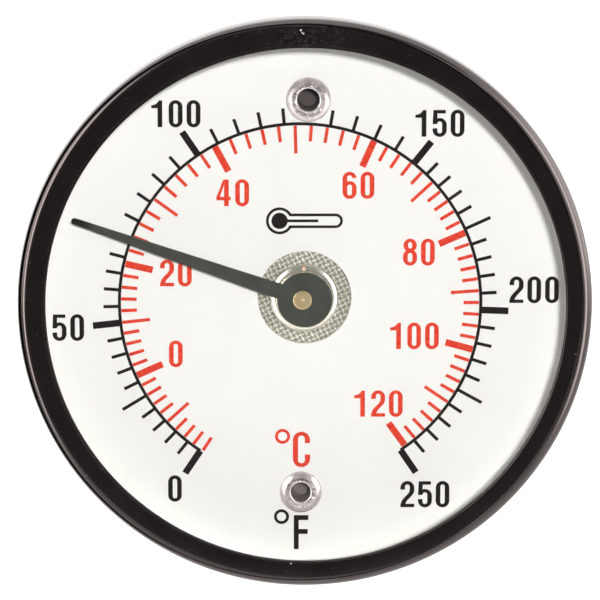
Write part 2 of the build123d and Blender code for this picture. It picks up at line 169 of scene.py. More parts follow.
# ---------------------------------------------------------------- material helpers
class Look:
    """A node material with short calls for the nodes that the materials below share."""

    def __init__(self, name):
        self.material = bpy.data.materials.new(name)
        self.material.use_nodes = True
        self.tree = self.material.node_tree
        self.tree.nodes.clear()
        self.output = self.add("ShaderNodeOutputMaterial")
        self.coords = self.add("ShaderNodeTexCoord").outputs["Object"]

    def add(self, kind, **settings):
        node = self.tree.nodes.new(kind)
        for key, value in settings.items():
            setattr(node, key, value)
        return node

    def join(self, source, target):
        self.tree.links.new(source, target)

    def feed(self, node, **values):
        """Set or link inputs by name; underscores in a key stand for spaces."""
        for key, value in values.items():
            socket = node.inputs[key.replace("_", " ")]
            if isinstance(value, bpy.types.NodeSocket):
                self.join(value, socket)
            else:
                socket.default_value = value
        return node

    def maths(self, operation, a, b=0.0, clamp=False):
        node = self.add("ShaderNodeMath", operation=operation, use_clamp=clamp)
        for socket, value in zip(node.inputs, (a, b)):
            if isinstance(value, bpy.types.NodeSocket):
                self.join(value, socket)
            else:
                socket.default_value = value
        return node.outputs[0]

    def noise(self, size, detail=3.0, rough=0.5, vector=None):
        """Noise with features of about the given size in metres. With its own vector, size is a
        scale instead."""
        node = self.add("ShaderNodeTexNoise")
        scale = 1 / size if vector is None else size
        self.feed(node, Vector=vector or self.coords, Scale=scale, Detail=detail, Roughness=rough)
        return node.outputs["Fac"]

    def span(self, value, low, high, to_low, to_high):
        """Linear map, clamped."""
        node = self.add("ShaderNodeMapRange")
        self.feed(node, Value=value, From_Min=low, From_Max=high, To_Min=to_low, To_Max=to_high)
        return node.outputs[0]

    def mix(self, share, a, b):
        node = self.add("ShaderNodeMix", data_type="RGBA")
        for index, value in ((0, share), (6, a), (7, b)):
            socket = node.inputs[index]
            if isinstance(value, bpy.types.NodeSocket):
                self.join(value, socket)
            elif index == 0:
                socket.default_value = value
            else:
                socket.default_value = (*value, 1)
        return node.outputs[2]

    def specks(self, size, share, spread):
        """1 in small scattered dots: size is their spacing in metres, share is how many cells
        hold one, and spread is a dot's radius as a part of the spacing."""
        cells = self.add("ShaderNodeTexVoronoi")
        self.feed(cells, Vector=self.coords, Scale=1 / size, Randomness=1.0)
        near = self.maths("LESS_THAN", cells.outputs["Distance"], spread)
        parts = self.add("ShaderNodeSeparateColor")
        self.join(cells.outputs["Color"], parts.inputs[0])
        chosen = self.maths("LESS_THAN", parts.outputs[0], share)
        return self.maths("MULTIPLY", near, chosen)

    def radius(self, centre):
        """Distance from a line parallel to Y, in metres."""
        offset = self.add("ShaderNodeVectorMath", operation="SUBTRACT")
        self.join(self.coords, offset.inputs[0])
        offset.inputs[1].default_value = (centre[0], 0, centre[1])
        flat = self.add("ShaderNodeVectorMath", operation="MULTIPLY")
        self.join(offset.outputs[0], flat.inputs[0])
        flat.inputs[1].default_value = (1, 0, 1)
        length = self.add("ShaderNodeVectorMath", operation="LENGTH")
        self.join(flat.outputs[0], length.inputs[0])
        return length.outputs["Value"]

    def rings(self, centre, pitch):
        """Concentric turned lines: noise along the radius alone."""
        spot = self.add("ShaderNodeCombineXYZ")
        self.join(self.radius(centre), spot.inputs[0])
        return self.noise(1 / pitch, detail=4.0, rough=0.6, vector=spot.outputs[0])

    def bump(self, height, depth):
        node = self.add("ShaderNodeBump")
        self.feed(node, Height=height, Distance=depth, Strength=1.0)
        return node.outputs[0]

    def shade(self, **values):
        """Principled surface, straight to the output."""
        surface = self.add("ShaderNodeBsdfPrincipled")
        for key in ("Base_Color", "Specular_Tint"):
            if key in values and isinstance(values[key], tuple):
                values[key] = (*values[key], 1)
        self.feed(surface, **values)
        self.join(surface.outputs[0], self.output.inputs["Surface"])
        return self.material


WARM_SHEEN = (1.0, 0.84, 0.80)
FILM_CENTRE = (0.2 * mm, 23.8 * mm)
CHIP_PLACES = (
    (-0.35 * mm, 24.22 * mm),
    (-0.22 * mm, 24.02 * mm),
    (-0.12 * mm, 23.93 * mm),
    (-1.24 * mm, -22.95 * mm),
)


def black_bezel_look():
    """Black enamel: dust, a film of it near twelve o'clock, and chips. The lip's bore is dull."""
    look = Look("black_bezel")
    grain = look.noise(0.00009, detail=6, rough=0.7)
    clouds = look.noise(0.004, detail=4)
    dust = look.specks(0.0013, 0.25, 0.05)
    fine_dust = look.specks(0.0006, 0.25, 0.08)
    film = look.span(look.noise(0.0004, detail=5, rough=0.7), 0.5, 0.75, 0, 1)
    near_twelve = look.span(look.radius(FILM_CENTRE), 0.001, 0.006, 0.38, 0)
    dirt = look.maths("MAXIMUM", dust, look.maths("MULTIPLY", fine_dust, 0.5))
    dirt = look.maths("MAXIMUM", dirt, look.maths("MULTIPLY", film, near_twelve))
    ragged = look.span(look.noise(0.00005, detail=2), 0.35, 0.65, 0.00003, 0.00011)
    chips = 0.0
    for place in CHIP_PLACES:
        chips = look.maths("MAXIMUM", chips, look.maths("LESS_THAN", look.radius(place), ragged))
    base = look.mix(look.span(clouds, 0.35, 0.7, 0, 1),
                    (0.0056, 0.0046, 0.0042), (0.0092, 0.0076, 0.0070))
    colour = look.mix(look.maths("MULTIPLY", dirt, 0.42), base, (0.22, 0.2, 0.19))
    colour = look.mix(chips, colour, (0.62, 0.56, 0.55))
    gloss = look.span(clouds, 0.3, 0.7, 0.15, 0.19)
    rough = look.maths("ADD", gloss, look.maths("MULTIPLY", dirt, 0.3), clamp=True)
    bore = look.span(look.radius((0, 0)), 0.02285, 0.02305, 1, 0)
    rough = look.maths("ADD", rough, look.maths("MULTIPLY", bore, 0.4), clamp=True)
    return look.shade(Base_Color=colour, Roughness=rough,
                      Specular_IOR_Level=look.span(bore, 0, 1, 0.6, 0.12),
                      Specular_Tint=WARM_SHEEN, Normal=look.bump(grain, 0.0000006))


def black_case_look():
    """Black enamel with a slight orange peel."""
    look = Look("black_case")
    peel = look.noise(0.0011, detail=3)
    grain = look.noise(0.0001, detail=5, rough=0.7)
    clouds = look.noise(0.006, detail=4)
    dust = look.specks(0.0013, 0.12, 0.04)
    base = look.mix(look.span(clouds, 0.35, 0.7, 0, 1),
                    (0.004, 0.0035, 0.0034), (0.008, 0.0068, 0.0065))
    colour = look.mix(look.maths("MULTIPLY", dust, 0.3), base, (0.25, 0.23, 0.22))
    height = look.maths("ADD", look.maths("MULTIPLY", peel, 0.8),
                        look.maths("MULTIPLY", grain, 0.2))
    return look.shade(Base_Color=colour, Roughness=look.span(clouds, 0.3, 0.7, 0.13, 0.18),
                      Specular_IOR_Level=0.6, Specular_Tint=WARM_SHEEN,
                      Normal=look.bump(height, 0.0000015))


def dial_white_look():
    """White enamel with a faint mottle."""
    look = Look("dial_white")
    mottle = look.noise(0.0035, detail=5)
    grain = look.noise(0.00012, detail=4, rough=0.6)
    colour = look.mix(look.span(mottle, 0.35, 0.65, 0, 1),
                      (0.90, 0.90, 0.865), (0.915, 0.915, 0.885))
    return look.shade(Base_Color=colour, Roughness=look.span(grain, 0.3, 0.7, 0.5, 0.6),
                      Specular_IOR_Level=0.3, Normal=look.bump(grain, 0.0000012))


def ink_look(name, light, dark):
    look = Look(name)
    patch = look.noise(0.00035, detail=4)
    grain = look.noise(0.00006, detail=3)
    colour = look.mix(look.span(patch, 0.35, 0.65, 0, 1), dark, light)
    return look.shade(Base_Color=colour, Roughness=look.span(grain, 0.3, 0.7, 0.42, 0.55),
                      Specular_IOR_Level=0.1, Normal=look.bump(grain, 0.000001))


def lens_look():
    """Clear window: see-through, with a faint mirror that grows at glancing angles."""
    look = Look("lens_glass")
    smear = look.noise(0.006, detail=3)
    clear = look.add("ShaderNodeBsdfTransparent")
    clear.inputs["Color"].default_value = (0.99, 0.987, 0.986, 1)
    mirror = look.add("ShaderNodeBsdfGlossy")
    look.feed(mirror, Color=(1, 1, 1, 1), Roughness=look.span(smear, 0.3, 0.7, 0.015, 0.05))
    fresnel = look.add("ShaderNodeFresnel")
    fresnel.inputs["IOR"].default_value = 1.4
    inside = look.add("ShaderNodeNewGeometry").outputs["Backfacing"]
    share = look.maths("MULTIPLY", fresnel.outputs[0], look.maths("SUBTRACT", 1.0, inside))
    blend = look.add("ShaderNodeMixShader")
    look.join(share, blend.inputs[0])
    look.join(clear.outputs[0], blend.inputs[1])
    look.join(mirror.outputs[0], blend.inputs[2])
    look.join(blend.outputs[0], look.output.inputs["Surface"])
    return look.material


def metal_look(name, light, dark, rough):
    """Worked metal with a fine grain and soft stains."""
    look = Look(name)
    stain = look.noise(0.0016, detail=5, rough=0.6)
    grain = look.noise(0.0002, detail=5, rough=0.65)
    colour = look.mix(look.span(stain, 0.35, 0.65, 0, 1), dark, light)
    return look.shade(Base_Color=colour, Metallic=1.0,
                      Roughness=look.span(grain, 0.25, 0.75, rough - 0.07, rough + 0.1),
                      Normal=look.bump(grain, 0.000002))


def turned_look(name, light, dark, rough, centre=(0, 0), pitch=0.00012, depth=0.000004, metal=1.0,
                painted_glint=None):
    """Lathe-turned metal: fine rings about its own axis, and perhaps one coppery spot that is a
    painted warm glint.
    """
    look = Look(name)
    rings = look.rings(centre, pitch)
    stain = look.noise(0.002, detail=5)
    colour = look.mix(look.span(stain, 0.35, 0.65, 0, 1), dark, light)
    if painted_glint:
        # Painted glint: a small coppery patch stands in for a warm reflection.
        spot = look.maths("LESS_THAN", look.radius(painted_glint), 0.00017)
        colour = look.mix(spot, colour, (0.95, 0.62, 0.42))
        metal = look.maths("MULTIPLY", metal, look.maths("SUBTRACT", 1.0, spot))
    return look.shade(Base_Color=colour, Metallic=metal,
                      Roughness=look.span(rings, 0.3, 0.7, rough - 0.08, rough + 0.1),
                      Normal=look.bump(rings, depth))


def woven_look():
    """Steel wire cloth with painted light: the wires' crowns are painted bright as a highlight,
    and the pits between them are painted dark as shade.
    """
    look = Look("wire_cloth")
    height = look.add("ShaderNodeAttribute", attribute_name="crown").outputs["Fac"]
    stain = look.noise(0.0007, detail=5, rough=0.6)
    grain = look.noise(0.00008, detail=4)
    lit = look.mix(look.span(stain, 0.3, 0.7, 0, 1), (0.72, 0.71, 0.62), (0.95, 0.94, 0.87))
    # Painted light: the pits take a dark shade colour, the crowns the lit colour.
    colour = look.mix(look.span(height, 0.45, 0.85, 0, 1), (0.35, 0.34, 0.28), lit)
    return look.shade(Base_Color=colour, Metallic=look.span(height, 0.1, 0.9, 0.15, 0.4),
                      Roughness=look.span(height, 0.0, 1.0, 0.55, 0.36),
                      Normal=look.bump(grain, 0.0000006))


def rivet_look():
    """Nickelled steel. The inside attribute says how a place looks: LIP_TONE is a painted highlight
    on the hole's lip, 0 the roll, 1 the hole's wall in painted shade, 1 to 2 its floor in lighter
    shade."""
    look = Look("nickel_rivet")
    inside = look.add("ShaderNodeAttribute", attribute_name="inside").outputs["Fac"]
    stain = look.noise(0.0006, detail=5, rough=0.65)
    grain = look.noise(0.0001, detail=5, rough=0.7)
    bright = look.mix(look.span(stain, 0.35, 0.7, 0, 1), (0.60, 0.54, 0.53), (0.80, 0.75, 0.74))
    # Painted shade on the hole's wall and floor, and a painted highlight on its lip.
    hole_shaded = look.mix(look.span(inside, 0, 1, 0, 1), bright, (0.12, 0.10, 0.095))
    hole_shaded = look.mix(look.span(inside, LIP_TONE, 0, 1, 0), hole_shaded, (0.95, 0.92, 0.91))
    colour = look.mix(look.span(inside, 1, 2, 0, 1), hole_shaded, (0.3, 0.265, 0.25))
    return look.shade(Base_Color=colour, Metallic=look.span(inside, 0, 1, 0.62, 0.2),
                      Roughness=look.maths("ADD", look.span(grain, 0.3, 0.7, 0.18, 0.3),
                                           look.maths("MULTIPLY", inside, 0.5), clamp=True),
                      Normal=look.bump(grain, 0.000003))


def pointer_look():
    """Dark grey-green paint with specks of dust, and painted shade that makes the very tip black.
    """
    look = Look("pointer_paint")
    grain = look.noise(0.00012, detail=5, rough=0.7)
    patch = look.noise(0.0015, detail=3)
    specks = look.specks(0.0009, 0.3, 0.06)
    base = look.mix(look.span(patch, 0.35, 0.65, 0, 1),
                    (0.048, 0.051, 0.043), (0.059, 0.062, 0.053))
    # Painted shade: the tip is painted black where its reflection fades.
    tip = look.span(look.radius((0, 0)), 0.0196, 0.0209, 0, 1)
    base = look.mix(tip, base, (0.012, 0.012, 0.012))
    colour = look.mix(look.maths("MULTIPLY", specks, 0.22), base, (0.4, 0.42, 0.4))
    return look.shade(Base_Color=colour, Roughness=look.span(grain, 0.3, 0.7, 0.55, 0.7),
                      Specular_IOR_Level=0.2, Normal=look.bump(grain, 0.0000012))


def ferrite_look():
    look = Look("ferrite")
    grain = look.noise(0.00018, detail=8, rough=0.75)
    patch = look.noise(0.002, detail=4)
    colour = look.mix(look.span(patch, 0.3, 0.7, 0, 1), (0.035, 0.035, 0.037), (0.075, 0.075, 0.08))
    return look.shade(Base_Color=colour, Roughness=look.span(grain, 0.3, 0.7, 0.45, 0.7),
                      Specular_IOR_Level=0.5, Normal=look.bump(grain, 0.000012))


def rubber_look():
    look = Look("gasket_rubber")
    grain = look.noise(0.0002, detail=5)
    colour = look.mix(grain, (0.01, 0.01, 0.01), (0.025, 0.025, 0.025))
    return look.shade(Base_Color=colour, Roughness=0.75, Normal=look.bump(grain, 0.000005))


def trim_look():
    look = Look("white_trim")
    grain = look.noise(0.0002, detail=5)
    colour = look.mix(grain, (0.78, 0.78, 0.745), (0.84, 0.84, 0.81))
    return look.shade(Base_Color=colour, Roughness=0.5, Normal=look.bump(grain, 0.000003))


# ---------------------------------------------------------------- pieces
RIM_RADIUS = 25.16 * mm
SHOULDER_RADIUS = 24.2 * mm
JOINT_RADIUS = 24.59 * mm
JOINT_GAP = 0.045 * mm
JOINT_LEFT = 0.38 * mm
JOINT_DOWN = -0.11 * mm
BEZEL_SKIRT = 24.2 * mm
CLOTH_RADIUS = 4.7 * mm
CLOTH_OVERLAP = 0.1 * mm
RIVET_SHANK = 1.45 * mm
RIVET_GRIP = 2.5 * mm
LIP_TONE = -1.0
SHAFT_RADIUS = 0.5 * mm
COLLAR_CENTRE = (-0.06 * mm, 0.0)
PIN_CENTRE = (-0.19 * mm, 0.01 * mm)


def crest(radius, front):
    """Depth of the rim's front surface: flat, then a quarter round down to the wall. The bezel
    and the case share it, and the joint between them wanders across it."""
    roll = RIM_RADIUS - SHOULDER_RADIUS
    out = min(max(radius - SHOULDER_RADIUS, 0), roll * 0.995)
    crown = 0.03 * mm * ((radius - 23.5 * mm) / mm) ** 2
    return front + crown + roll - math.sqrt(roll * roll - out * out)


def joint_shift(angle):
    """The bezel sits off centre in the case, so the joint's circle does too."""
    return -JOINT_LEFT * math.sin(angle) - JOINT_DOWN * math.cos(angle)


def make_case():
    """Drawn cup with a slightly barrelled wall; its rim rounds up to meet the bezel."""
    back = back_of("case_cup")
    widest = radius_of("case_cup")
    front = front_of("bezel_ring")
    floor = back - 0.8 * mm
    belly = -9.2 * mm
    bore = BEZEL_SKIRT
    seat = back_of("bezel_ring")
    joint = JOINT_RADIUS
    dial_back = back_of("dial_plate")
    ledge = 23.4 * mm
    cup_hole = 9.55 * mm
    wall = [
        (cup_hole, back),
        (widest - 0.6 * mm, back),
        (widest - 0.24 * mm, (back + belly) / 2),
        (widest, belly),
        (RIM_RADIUS, front + 1.1 * mm),
    ]
    ease = [0, 0.9, 1.4, 1.0, 0.4]
    outline = rounded(wall, [e * mm for e in ease], 8, closed=False)[:-1]
    steps = 16
    for step in range(steps + 1):
        radius = RIM_RADIUS + (joint + 0.02 * mm - RIM_RADIUS) * step / steps
        outline.append((radius, crest(radius, front)))
    edge = crest(joint, front)
    outline += [
        (joint, edge + 0.03 * mm),
        (joint, seat),
        (bore, seat),
        (bore, dial_back),
        (ledge, dial_back),
        (ledge, floor + 0.3 * mm),
        (ledge - 0.3 * mm, floor),
        (cup_hole, floor),
    ]

    def push(radius, y, angle):
        if radius < joint - 0.01 * mm or radius > RIM_RADIUS or y > seat + 0.01 * mm:
            return radius, y
        share = (RIM_RADIUS - radius) / (RIM_RADIUS - joint)
        moved = radius + share * joint_shift(angle)
        if y < edge + 0.06 * mm:
            y += crest(moved, front) - crest(radius, front)
        return moved, y

    return lathe("drawn_case", outline, segments=FINE_ROUND, push=push, smooth_below=35)


def make_bezel():
    """Flat-faced ring with a crisp inner lip and a rolled outer shoulder. Its opening was
    pressed slightly off centre, to the right and down."""
    front = front_of("bezel_ring")
    back = back_of("bezel_ring")
    lip = 22.76 * mm
    seat = front_of("lens")
    skirt = BEZEL_SKIRT
    outer = JOINT_RADIUS - JOINT_GAP
    outline = rounded([
        (lip, seat),
        (lip, front + 0.12 * mm),
        (lip + 0.1 * mm, crest(lip + 0.1 * mm, front)),
        (lip + 0.5 * mm, crest(lip + 0.5 * mm, front)),
    ], [0, 0.06 * mm, 0.06 * mm, 0], 4, closed=False)
    steps = 24
    start = lip + 0.5 * mm
    for step in range(1, steps + 1):
        radius = start + (outer - 0.02 * mm - start) * step / steps
        outline.append((radius, crest(radius, front)))
    edge = crest(outer, front)
    outline += [(outer, edge + 0.03 * mm), (outer, back), (skirt, back), (skirt, seat)]
    off_right, off_down = 0.08 * mm, 0.09 * mm

    def push(radius, y, angle):
        share = (radius - lip) / (outer - lip)
        lip_shift = off_right * math.sin(angle) - off_down * math.cos(angle)
        if radius > skirt - 0.01 * mm or y < seat - 0.1 * mm:
            moved = radius + share ** 3 * joint_shift(angle) + (1 - share) * lip_shift
        else:
            moved = radius + lip_shift
        if y < edge + 0.06 * mm:
            y += crest(moved, front) - crest(radius, front)
        return moved, y

    return lathe("bezel", outline, segments=FINE_ROUND, push=push, smooth_below=35)


def make_woven_disc(radius, y_front):
    """Plain-weave wire cloth as one closed sheet; the crown attribute is 1 on top of a wire."""
    pitch = 0.43 * mm
    wire = 0.1 * mm
    sway = 0.04 * mm
    pit = 0.02 * mm
    turn = math.radians(25)
    cells = 12
    step = pitch / cells
    half = int(radius / step) + 2
    rng = random.Random(7)
    wobble_u = [rng.uniform(-0.1, 0.1) * pitch for _ in range(2 * half)]
    wobble_v = [rng.uniform(-0.1, 0.1) * pitch for _ in range(2 * half)]

    def strand(across, along, sign_shift):
        """Height of the nearest wire that runs one way, or far below the cloth off the wire."""
        index = round(across / pitch)
        drift = (wobble_u if sign_shift else wobble_v)[index % (2 * half)] * 0.6
        off = across - index * pitch - drift
        if abs(off) >= wire:
            return -1.0 * mm
        phase = math.pi * along / pitch + math.pi * (index + sign_shift)
        return math.sqrt(wire * wire - off * off) + sway * math.cos(phase)

    def height(x, z):
        u = x * math.cos(turn) + z * math.sin(turn)
        v = -x * math.sin(turn) + z * math.cos(turn)
        top = max(strand(u, v, 0), strand(v, u, 1))
        return max(top, -pit)

    top_height = wire + sway
    index_of = {}
    vertices = []
    crowns = []
    for i in range(-half, half + 1):
        for k in range(-half, half + 1):
            x, z = i * step, k * step
            if x * x + z * z > radius * radius:
                continue
            index_of[i, k] = len(vertices)
            h = height(x, z)
            vertices.append((x, y_front + top_height - h, z))
            crowns.append(max(0.0, min(1.0, (h + pit) / (top_height + pit))))
    faces = []
    for (i, k), here in index_of.items():
        corners = [(i + 1, k), (i + 1, k + 1), (i, k + 1)]
        if all(corner in index_of for corner in corners):
            faces.append((here, *[index_of[corner] for corner in corners]))
    piece = new_object("wire_cloth_disc", vertices, faces, smooth_below=80)
    crown = piece.data.attributes.new("crown", "FLOAT", "POINT")
    crown.data.foreach_set("value", crowns)
    return close_sheet(piece, 0.35 * mm)


def close_sheet(piece, depth):
    """Give an open sheet a back: its border drops straight to a flat back plane."""
    shape = bmesh.new()
    shape.from_mesh(piece.data)
    loose = [v for v in shape.verts if not v.link_faces]
    bmesh.ops.delete(shape, geom=loose, context="VERTS")
    back = max(v.co.y for v in shape.verts) + depth
    border = [e for e in shape.edges if e.is_boundary]
    grown = bmesh.ops.extrude_edge_only(shape, edges=border)["geom"]
    rim = [g for g in grown if isinstance(g, bmesh.types.BMVert)]
    for vertex in rim:
        vertex.co.y = back
    loops = [e for e in shape.edges if e.is_boundary]
    bmesh.ops.holes_fill(shape, edges=loops)
    bmesh.ops.recalc_face_normals(shape, faces=shape.faces)
    shape.to_mesh(piece.data)
    shape.free()
    piece.data.set_sharp_from_angle(angle=math.radians(80))
    return piece


def make_shield(hole):
    """Lid over the coil; its middle is left open for the wire cloth."""
    low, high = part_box("heat_shield")
    sheet = 0.3 * mm
    wall = 10.4 * mm
    flange = radius_of("heat_shield")
    outline = [
        (hole, low.y + sheet),
        (wall - sheet, low.y + sheet),
        (wall - sheet, high.y),
        (flange, high.y),
        (flange, high.y - sheet),
        (wall, high.y - sheet),
        (wall, low.y),
        (hole, low.y),
    ]
    ease = [0, 0.3 * mm, 0.1 * mm, 0.05 * mm, 0.05 * mm, 0.1 * mm, 0.5 * mm, 0]
    return lathe("heat_shield_lid", rounded(outline, ease))


def make_rivet(name, node, roll, hole, depth, hole_shade, floor_tone, low_edge_shade, seed):
    """Hollow rivet: the roll is slightly lumpy and its inner slope is creased by the punch.
    Two arguments paint shade on the hole's wall and floor, a third a dark arc of shade on the
    roll's lower edge."""
    low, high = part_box(node)
    centre = (middle(node).x, middle(node).z)
    front = low.y
    head = radius_of(node)
    dial = front_of("dial_plate")
    blind = front + depth
    outline = [
        (0, high.y),
        (head - 0.45 * mm, high.y),
        (head, high.y - 0.3 * mm),
        (head, -RIVET_GRIP),
        (RIVET_SHANK, -RIVET_GRIP),
        (RIVET_SHANK, dial + 0.01 * mm),
        (roll - 0.04 * mm, dial),
        (roll, dial - 0.06 * mm),
        (roll - 0.02 * mm, dial - 0.16 * mm),
        (roll - 0.12 * mm, dial - 0.25 * mm),
        (roll - 0.46 * mm, front),
        (roll - 0.6 * mm, front + 0.05 * mm),
        (hole + 0.27 * mm, front + 0.2 * mm),
        (hole + 0.17 * mm, front + 0.22 * mm),
        (hole + 0.09 * mm, front + 0.17 * mm),
        (hole + 0.01 * mm, front + 0.22 * mm),
        (hole - 0.01 * mm, front + 0.4 * mm),
        (0.86 * hole, blind),
        (0, blind + 0.1 * mm),
    ]
    ease = [0, 0.1, 0.2, 0.05, 0.05, 0.03, 0.04, 0.08, 0.1, 0.12, 0.14, 0.1, 0.06, 0.05, 0.05,
            0.06, 0.08, 0.1, 0]
    path = rounded(outline, [e * mm for e in ease], 4, closed=False)

    def push(radius, y, angle):
        """Creases on the inner slope, lumps on the roll."""
        slow = noise.noise(Vector((math.sin(angle) * 3, math.cos(angle) * 3, seed)))
        fast = noise.noise(Vector((math.sin(angle) * 14, math.cos(angle) * 14,
                                   seed + 5 + radius * 2500)))
        slope = hole + 0.1 * mm < radius < roll - 0.5 * mm and y < dial
        ridge = radius >= roll - 0.5 * mm and y < dial
        if slope:
            y += fast * 0.13 * mm
        if ridge:
            radius += slow * 0.012 * mm
            y += slow * 0.012 * mm
        return radius, y

    piece = lathe(name, path, centre, ROUND, push, smooth_below=60)
    inside = piece.data.attributes.new("inside", "FLOAT", "POINT")
    values = []
    for vertex in piece.data.vertices:
        away = math.hypot(vertex.co.x - centre[0], vertex.co.z - centre[1])
        deep = (vertex.co.y - front - 0.3 * mm) / (0.25 * mm)
        within = away < hole + 0.04 * mm and vertex.co.y < blind + 0.2 * mm
        upward = (vertex.co.z - centre[1]) / max(away, 1e-6)
        across = (vertex.co.x - centre[0]) / max(away, 1e-6)
        exposed = vertex.co.y < dial + 0.02 * mm
        # Painted shade in the hole: its floor is painted a lighter shade than its wall.
        if away < 0.84 * hole and vertex.co.y < blind + 0.2 * mm:
            values.append(floor_tone)
        # Painted shade: the hole's wall darkens with depth.
        elif within:
            values.append(max(0.0, min(hole_shade, deep)))
        # Painted highlight: a near-white ring on the lip of the hole.
        elif exposed and away < hole + 0.13 * mm:
            values.append(LIP_TONE)
        # The inner slope is darker towards its top and in random patches.
        elif exposed and hole + 0.2 * mm < away < roll - 0.48 * mm:
            dark_patch = noise.noise(Vector((across * 16, upward * 16, seed + 40 + away * 1500)))
            values.append(max(0.0, 0.36 + 0.22 * upward + 1.1 * dark_patch))
        # Painted shade: a darker band at the roll's outer edge, where it meets the dial, and a dark
        # arc low on the roll.
        elif exposed and away > roll - 0.13 * mm:
            values.append(0.24 + low_edge_shade * max(0.0, -upward - 0.7) * 3)
        else:
            values.append(0.0)
    inside.data.foreach_set("value", values)
    return piece


def make_collar():
    """Turned collar: a straight edge, a shallow cone that catches the side lights, and a step up
    to the pointer's hub."""
    low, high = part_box("pointer_collar")
    outer = radius_of("pointer_collar") + 0.03 * mm
    bore = SHAFT_RADIUS
    outline = [
        (bore, high.y),
        (outer - 0.1 * mm, high.y),
        (outer, high.y - 0.1 * mm),
        (outer, high.y - 0.42 * mm),
        (outer - 0.07 * mm, high.y - 0.52 * mm),
        (outer - 0.3 * mm, high.y - 0.68 * mm),
        (outer - 0.52 * mm, high.y - 0.76 * mm),
        (outer - 0.56 * mm, high.y - 0.72 * mm),
        (outer - 0.62 * mm, low.y),
        (bore, low.y),
    ]
    ease = [0, 0.1, 0.1, 0.1, 0.06, 0.2, 0.03, 0.03, 0.02, 0]
    return lathe("turned_collar", rounded(outline, [e * mm for e in ease]), COLLAR_CENTRE,
                 smooth_below=50)


def make_washer(bore, slack):
    """Friction washer, a hair thinner than its gap, so that the hub's parts turn clear of it."""
    low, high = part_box("hub_washer")
    outer = radius_of("hub_washer")
    back = high.y - slack
    front = low.y + slack
    return lathe("friction_washer", [(bore, front), (bore, back), (outer, back), (outer, front)],
                 segments=SMALL_ROUND, smooth_below=60)


def make_shaft():
    """Brass shaft with a staked, centre-punched head that was struck a little off centre."""
    low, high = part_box("pointer_shaft")
    head = radius_of("pointer_shaft")
    shaft = SHAFT_RADIUS
    paint = front_of("pointer")
    outline = [
        (0, low.y + 0.1 * mm),
        (0.1 * mm, low.y + 0.055 * mm),
        (0.24 * mm, low.y + 0.015 * mm),
        (0.34 * mm, low.y + 0.03 * mm),
        (0.62 * mm, low.y),
        (head, low.y + 0.06 * mm),
        (head, paint),
        (shaft, paint),
        (shaft, high.y - 0.15 * mm),
        (shaft - 0.15 * mm, high.y),
        (0, high.y),
    ]
    ease = [0, 0.05, 0.06, 0.06, 0.1, 0.06, 0.02, 0.02, 0.05, 0.05, 0]
    return lathe("staked_shaft", rounded(outline, [e * mm for e in ease], 4, closed=False),
                 PIN_CENTRE, SMALL_ROUND, smooth_below=60)


# ---------------------------------------------------------------- stage
FLOOR_DROP = 0.12
# Panels that only make reflections: name, (right, up, distance), (width, height), radiance.
HIGHLIGHTS = (
    ("left_strip", (-53, 5, 1.0), (0.34, 2.1), 14.0),
    ("right_strip", (64, 5, 1.0), (0.36, 2.1), 11.0),
    ("left_side", (-88, 14, 0.4), (0.5, 0.45), 6.0),
    ("right_side", (92, 14, 0.4), (0.5, 0.45), 3.0),
    ("paper_glow", (0, -42, 0.18), (0.7, 0.14), 1.3),
)


def make_floor(lowest):
    """White paper that ends a little in front of the part, so the lens doesn't mirror it."""
    size, near = 3.0, -0.1
    vertices = [(-size, near, lowest), (size, near, lowest),
                (size, size, lowest), (-size, size, lowest)]
    mesh = bpy.data.meshes.new("floor")
    mesh.from_pydata(vertices, [], [(0, 1, 2, 3)])
    floor = bpy.data.objects.new("floor", mesh)
    bpy.context.scene.collection.objects.link(floor)
    look = Look("floor_paper")
    look.shade(Base_Color=(0.9, 0.9, 0.9), Roughness=0.8, Specular_IOR_Level=0.1,
               Emission_Color=(1, 1, 1, 1), Emission_Strength=0.2)
    mesh.materials.append(look.material)
    floor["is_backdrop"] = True


def make_light(name, place, size, radiance, on_matt=True, on_gloss=True):
    """Softbox aimed at the dial, brightest in its middle. One that isn't seen on matt surfaces
    only makes reflections."""
    data = bpy.data.lights.new(name, "AREA")
    data.shape = "RECTANGLE"
    data.size, data.size_y = size
    data.energy = radiance * math.pi * size[0] * size[1]
    light = bpy.data.objects.new(name, data)
    bpy.context.scene.collection.objects.link(light)
    light.location = place
    light.rotation_euler = (-Vector(place)).to_track_quat("-Z", "Y").to_euler()
    light.visible_diffuse = on_matt
    light.visible_glossy = on_gloss
    light.visible_camera = False
    data.use_nodes = True
    tree = data.node_tree
    spot = tree.nodes.new("ShaderNodeNewGeometry")
    parts = tree.nodes.new("ShaderNodeSeparateXYZ")
    tree.links.new(spot.outputs["Parametric"], parts.inputs[0])
    fade = None
    for axis in ("X", "Y"):
        hill = tree.nodes.new("ShaderNodeMath")
        hill.operation = "PINGPONG"
        tree.links.new(parts.outputs[axis], hill.inputs[0])
        hill.inputs[1].default_value = 0.5
        soft = tree.nodes.new("ShaderNodeMapRange")
        soft.interpolation_type = "SMOOTHSTEP"
        tree.links.new(hill.outputs[0], soft.inputs["Value"])
        soft.inputs["From Max"].default_value = 0.35
        if fade:
            both = tree.nodes.new("ShaderNodeMath")
            both.operation = "MULTIPLY"
            tree.links.new(fade, both.inputs[0])
            tree.links.new(soft.outputs[0], both.inputs[1])
            fade = both.outputs[0]
        else:
            fade = soft.outputs[0]
    tree.links.new(fade, tree.nodes["Emission"].inputs["Strength"])


def from_dial(right, up, distance):
    """Place at so many degrees right of and above the dial's axis."""
    right, up = math.radians(right), math.radians(up)
    return (distance * math.sin(right) * math.cos(up), -distance * math.cos(right) * math.cos(up),
            distance * math.sin(up))


